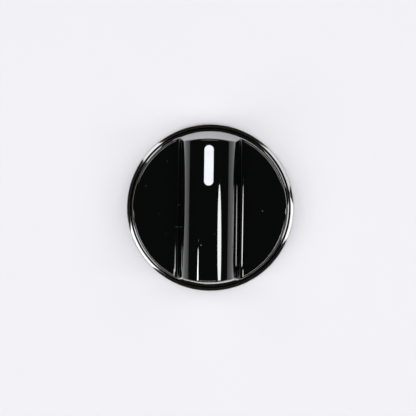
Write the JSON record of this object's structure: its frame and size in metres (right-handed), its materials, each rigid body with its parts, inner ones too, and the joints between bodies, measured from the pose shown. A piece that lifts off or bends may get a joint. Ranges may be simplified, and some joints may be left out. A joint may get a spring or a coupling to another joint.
{
  "type": "stove knob",
  "caption": "Round cooker knob with a full-width grip bar, flat finger lands, chrome trim ring, white pointer mark and a sprung hub for a D-shaped spindle.",
  "frame": {"origin": "centre of the rim that faces the cooker's panel, on the spindle's axis", "axes": "+Z along the spindle's axis, out of the panel; +Y towards the bar's end that carries the white mark"},
  "size_m": [0.045, 0.045, 0.0265],
  "materials": {
    "black_gloss": "high gloss",
    "chrome": "bright plated",
    "white_mark": "satin",
    "spring_steel": "rolled"
  },
  "bodies": {
    "root": {"knob_body": "black_gloss", "trim_ring": "chrome", "pointer_mark": "white_mark", "hub_spring": "spring_steel"}
  },
  "joints": []
}
